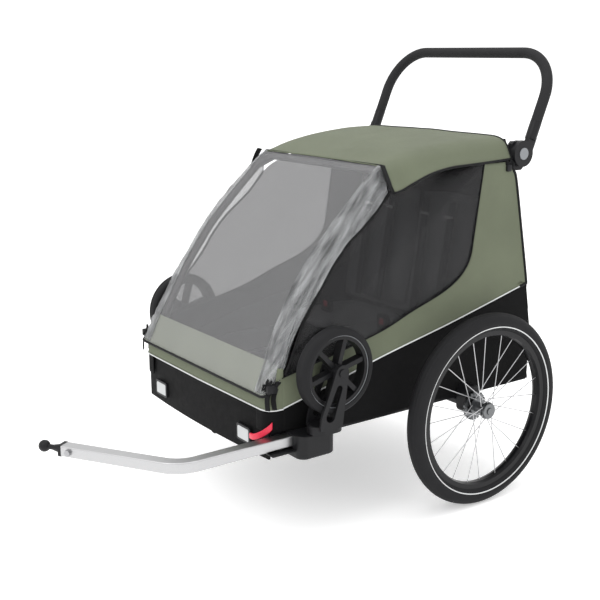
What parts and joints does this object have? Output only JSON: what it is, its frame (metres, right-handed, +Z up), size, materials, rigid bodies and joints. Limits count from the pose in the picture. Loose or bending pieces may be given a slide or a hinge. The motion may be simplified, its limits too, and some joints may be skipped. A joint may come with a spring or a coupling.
{
  "type": "child bicycle trailer",
  "caption": "Folding bicycle trailer for children: tubular frame, fabric body, spoked wheels, bent tow arm, tilting push bar and stowed stroller casters.",
  "frame": {"origin": "on the ground, below the centre of the trailer's bounding box", "axes": "+X forward towards the hitch ball, +Y the trailer's left, +Z up"},
  "size_m": [1.3238, 0.8, 1.1299],
  "materials": {
    "aluminium": "satin",
    "frame_tube": "satin black",
    "black_plastic": "fine grain",
    "grey_plastic": "satin",
    "red_plastic": "satin",
    "foam": "matt foam",
    "tyre_rubber": "matt",
    "rim_black": "black anodised",
    "spoke_steel": "bright",
    "hub_metal": "satin",
    "sage_fabric": "coated weave",
    "black_fabric": "woven",
    "seat_fabric": "woven",
    "clear_film": "glossy clear film",
    "dark_window": "tinted film",
    "reflector_white": "prismatic",
    "steel": "zinc plated"
  },
  "bodies": {
    "chassis": {"base_rails": "frame_tube", "cross_members": "frame_tube", "floor_tub": "black_plastic", "axle_beam": "frame_tube", "axle_receivers": "black_plastic", "axle_pins": "steel", "socket_block_left": "black_plastic", "socket_block_right": "black_plastic", "front_uprights": "black_plastic", "rear_knuckles": "black_plastic", "hinge_pins": "steel", "front_panel": "black_fabric", "front_band": "sage_fabric", "reflector_housings": "black_plastic", "reflectors": "reflector_white", "webbing_loops": "black_plastic", "brake_bracket": "black_plastic", "roof_canopy": "sage_fabric", "side_windows": "dark_window", "side_panels": "sage_fabric", "side_skirts": "black_fabric", "rear_panel": "black_fabric", "seat_base": "seat_fabric", "backrest": "seat_fabric", "harness_straps": "black_fabric", "crotch_buckles": "black_plastic"},
    "rear_hoop": {"rear_posts": "frame_tube", "rear_crossbar": "frame_tube", "handlebar_housings": "black_plastic"},
    "front_hoop": {"front_hoop_tube": "frame_tube"},
    "handlebar": {"handlebar_tube": "frame_tube", "foam_grip": "foam", "handlebar_hubs": "black_plastic"},
    "handlebar_button_left": {"handlebar_button_left": "grey_plastic"},
    "handlebar_button_right": {"handlebar_button_right": "grey_plastic"},
    "front_cover": {"cover_window": "clear_film", "cover_band": "sage_fabric"},
    "tow_arm": {"tow_arm_tube": "aluminium", "tow_bolt": "steel", "hitch_ball": "black_plastic"},
    "tow_release": {"tow_release": "red_plastic"},
    "brake_pedal": {"brake_pedal": "black_plastic"},
    "buckle_button_left": {"buckle_button_left": "red_plastic"},
    "buckle_button_right": {"buckle_button_right": "red_plastic"},
    "wheel_left": {"tyre_left": "tyre_rubber", "rim_left": "rim_black", "spokes_left": "spoke_steel", "wheel_hub_left": "hub_metal"},
    "release_button_left": {"release_button_left": "hub_metal"},
    "caster_fork_left": {"caster_fork_left": "black_plastic"},
    "caster_wheel_left": {"caster_wheel_left": "black_plastic", "caster_tyre_left": "tyre_rubber"},
    "wheel_right": {"tyre_right": "tyre_rubber", "rim_right": "rim_black", "spokes_right": "spoke_steel", "wheel_hub_right": "hub_metal"},
    "release_button_right": {"release_button_right": "hub_metal"},
    "caster_fork_right": {"caster_fork_right": "black_plastic"},
    "caster_wheel_right": {"caster_wheel_right": "black_plastic", "caster_tyre_right": "tyre_rubber"}
  },
  "joints": [
    {"name": "frame_fold", "type": "hinge", "parent": "chassis", "child": "rear_hoop", "pos_m": [-0.57705, 0, 0.36], "axis": [0, 1, 0], "range_deg": [0, 70], "deforming": ["roof_canopy", "side_windows", "side_panels", "side_skirts", "rear_panel", "seat_base", "backrest", "harness_straps", "crotch_buckles"]},
    {"name": "front_hoop_fold", "type": "hinge", "parent": "chassis", "child": "front_hoop", "pos_m": [0.20095, 0, 0.4], "axis": [0, -1, 0], "range_deg": [0, 52]},
    {"name": "handlebar_tilt", "type": "hinge", "parent": "rear_hoop", "child": "handlebar", "pos_m": [-0.52905, 0, 0.87], "axis": [0, -1, 0], "range_deg": [-55, 95]},
    {"name": "front_cover_lift", "type": "hinge", "parent": "front_hoop", "child": "front_cover", "pos_m": [-0.11605, 0, 0.861], "axis": [0, -1, 0], "range_deg": [0, 80]},
    {"name": "tow_arm_slide", "type": "slide", "parent": "chassis", "child": "tow_arm", "axis": [1, 0, 0], "range_m": [0, 0.055]},
    {"name": "tow_release_pull", "type": "slide", "parent": "chassis", "child": "tow_release", "axis": [1, 0, 0], "range_m": [0, 0.01], "stiffness_N_per_m": 400, "springref_m": -0.002},
    {"name": "brake_pedal_press", "type": "hinge", "parent": "chassis", "child": "brake_pedal", "pos_m": [-0.60805, 0, 0.29], "axis": [0, -1, 0], "range_deg": [0, 20], "stiffness_Nm_per_rad": 0.6, "springref_deg": -5.73},
    {"name": "handlebar_button_left_press", "type": "slide", "parent": "handlebar", "child": "handlebar_button_left", "axis": [0, -1, 0], "range_m": [0, 0.004], "stiffness_N_per_m": 800, "springref_m": -0.001},
    {"name": "wheel_left_spin", "type": "hinge", "parent": "chassis", "child": "wheel_left", "pos_m": [-0.35905, 0.375, 0.2475], "axis": [0, 1, 0], "continuous": true},
    {"name": "release_button_left_press", "type": "slide", "parent": "wheel_left", "child": "release_button_left", "axis": [0, -1, 0], "range_m": [0, 0.003], "stiffness_N_per_m": 800, "springref_m": -0.001},
    {"name": "caster_left_lift", "type": "slide", "parent": "chassis", "child": "caster_fork_left", "axis": [0, 0, 1], "range_m": [0, 0.06]},
    {"name": "caster_left_spin", "type": "hinge", "parent": "caster_fork_left", "child": "caster_wheel_left", "pos_m": [0.08945, 0.345, 0.425], "axis": [0, 1, 0], "continuous": true},
    {"name": "buckle_button_left_press", "type": "slide", "parent": "chassis", "child": "buckle_button_left", "axis": [-1, 0, 0], "range_m": [0, 0.003], "stiffness_N_per_m": 400, "springref_m": -0.001},
    {"name": "handlebar_button_right_press", "type": "slide", "parent": "handlebar", "child": "handlebar_button_right", "axis": [0, 1, 0], "range_m": [0, 0.004], "stiffness_N_per_m": 800, "springref_m": -0.001},
    {"name": "wheel_right_spin", "type": "hinge", "parent": "chassis", "child": "wheel_right", "pos_m": [-0.35905, -0.375, 0.2475], "axis": [0, 1, 0], "continuous": true},
    {"name": "release_button_right_press", "type": "slide", "parent": "wheel_right", "child": "release_button_right", "axis": [0, 1, 0], "range_m": [0, 0.003], "stiffness_N_per_m": 800, "springref_m": -0.001},
    {"name": "caster_right_lift", "type": "slide", "parent": "chassis", "child": "caster_fork_right", "axis": [0, 0, 1], "range_m": [0, 0.06]},
    {"name": "caster_right_spin", "type": "hinge", "parent": "caster_fork_right", "child": "caster_wheel_right", "pos_m": [0.08945, -0.345, 0.425], "axis": [0, 1, 0], "continuous": true},
    {"name": "buckle_button_right_press", "type": "slide", "parent": "chassis", "child": "buckle_button_right", "axis": [-1, 0, 0], "range_m": [0, 0.003], "stiffness_N_per_m": 400, "springref_m": -0.001}
  ],
  "couplings": [
    {"joint": "front_hoop_fold", "follows": "frame_fold", "ratio": 0.74286}
  ]
}
